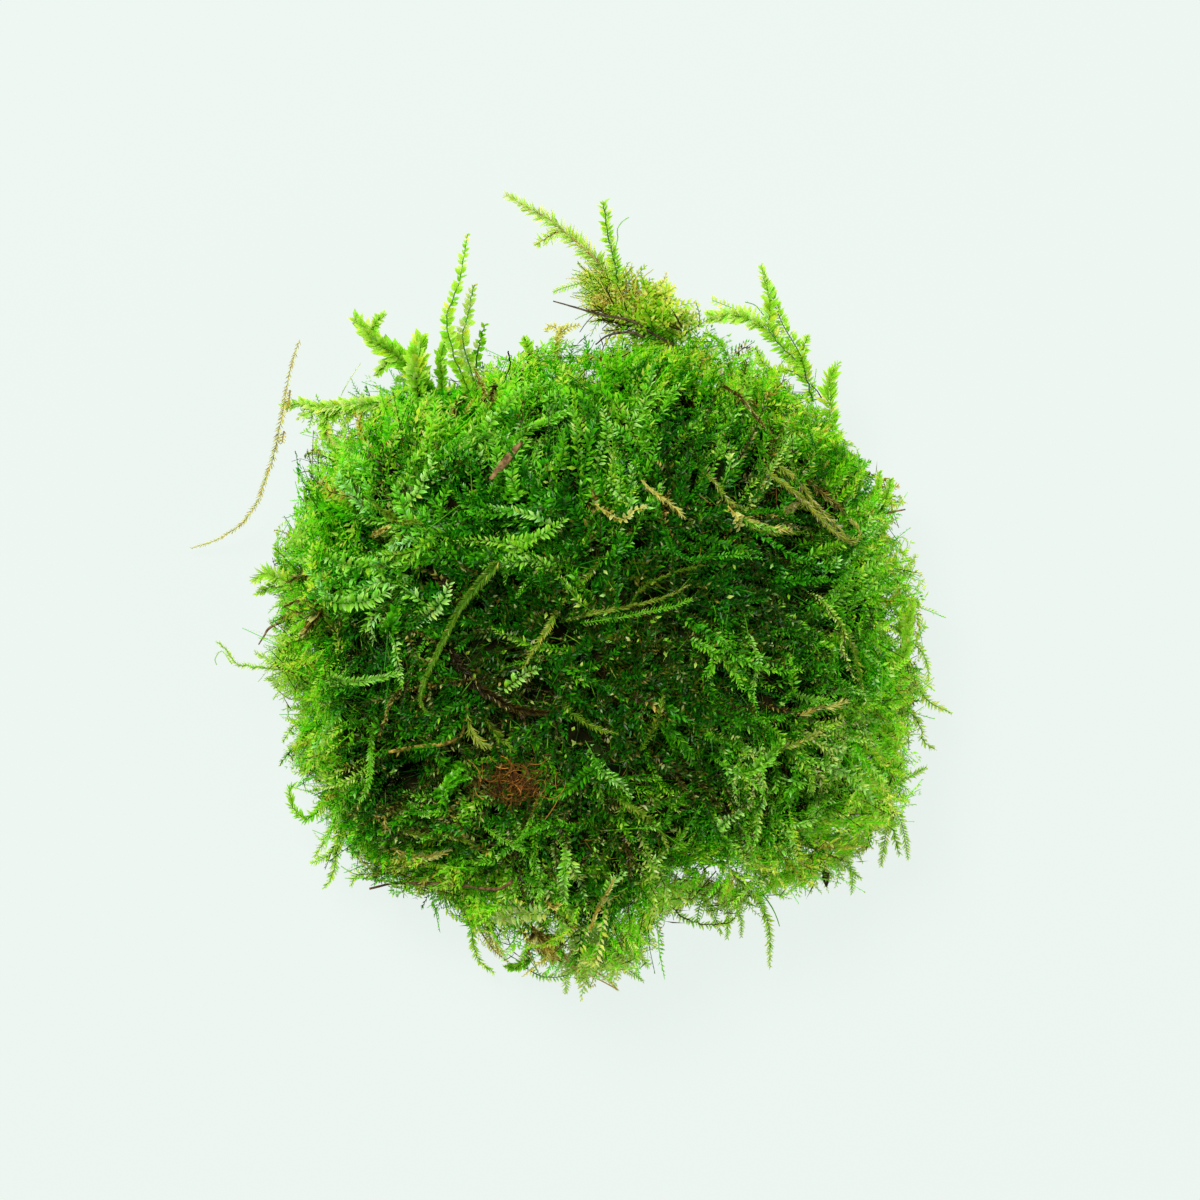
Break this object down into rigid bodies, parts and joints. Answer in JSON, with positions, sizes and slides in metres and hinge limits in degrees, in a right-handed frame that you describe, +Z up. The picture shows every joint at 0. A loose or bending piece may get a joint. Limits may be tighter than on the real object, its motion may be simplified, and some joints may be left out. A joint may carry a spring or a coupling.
{
  "type": "moss clump",
  "caption": "Rounded clump of living moss with a felted leafy cushion, flat rest face, shaggy crest, loose shoots around its edge and twigs and litter caught on top.",
  "frame": {"origin": "on the resting plane, under the middle of the cushion", "axes": "+Z up, away from the surface it rests on; +Y towards the edge with the crest; +X to the right when seen from above with the crest at the top"},
  "size_m": [0.1109, 0.1125, 0.0401],
  "materials": {
    "bright_green": "satin",
    "dark_twig": "matte",
    "leaf_green": "satin",
    "olive_shoot": "matte",
    "dead_orange": "matte",
    "pale_green": "satin",
    "red_brown": "matte",
    "yellow_green": "satin"
  },
  "bodies": {
    "root": {"arch_branch": "pale_green", "arch_frond": "bright_green", "arch_side_sprig": "bright_green", "bark_flake": "red_brown", "bright_east_shoot": "bright_green", "broad_shoot": "bright_green", "broad_shoot_lower_fork": "bright_green", "broad_shoot_upper_fork": "bright_green", "crest_orange_sprig": "dead_orange", "crest_shoot": "yellow_green", "crest_shoot_fork": "yellow_green", "crest_tuft": "yellow_green", "crest_twig": "dark_twig", "crest_twig_fork": "dark_twig", "crest_upright_shoot": "bright_green", "dark_leaf": "dark_twig", "decayed_stem": "dark_twig", "east_drooping_sprig": "yellow_green", "east_hanging_arc": "pale_green", "east_low_sprig": "pale_green", "east_lower_shoot": "bright_green", "east_twig": "dark_twig", "east_upper_sprig": "bright_green", "fringe_stem": "yellow_green", "hanging_shoot": "bright_green", "hook_shoot": "olive_shoot", "inner_arch": "leaf_green", "inner_sprig": "bright_green", "looped_shoot": "dead_orange", "loose_orange_shoot": "dead_orange", "moss_cushion": "leaf_green", "north_sprig": "bright_green", "northeast_sprig": "bright_green", "northwest_bough": "leaf_green", "northwest_bough_fork": "leaf_green", "old_shoot": "olive_shoot", "orange_stem": "dead_orange", "pale_curved_shoot": "pale_green", "pinnate_frond": "pale_green", "rhizoid_tangle": "red_brown", "short_shoot": "bright_green", "slanting_shoot": "leaf_green", "south_hanging_sprig": "bright_green", "south_stem": "dead_orange", "south_tip_sprig": "pale_green", "south_yellow_sprig": "dead_orange", "southeast_sprig": "leaf_green", "southeast_tip": "bright_green", "southwest_side_sprig": "yellow_green", "southwest_sprig": "bright_green", "tall_shoot_east": "bright_green", "tall_shoot_west": "leaf_green", "tongue_shoot": "bright_green", "west_fork_lower": "olive_shoot", "west_fork_upper": "bright_green", "west_low_sprig": "olive_shoot", "west_stub": "olive_shoot", "wiry_stem": "olive_shoot"}
  },
  "joints": []
}
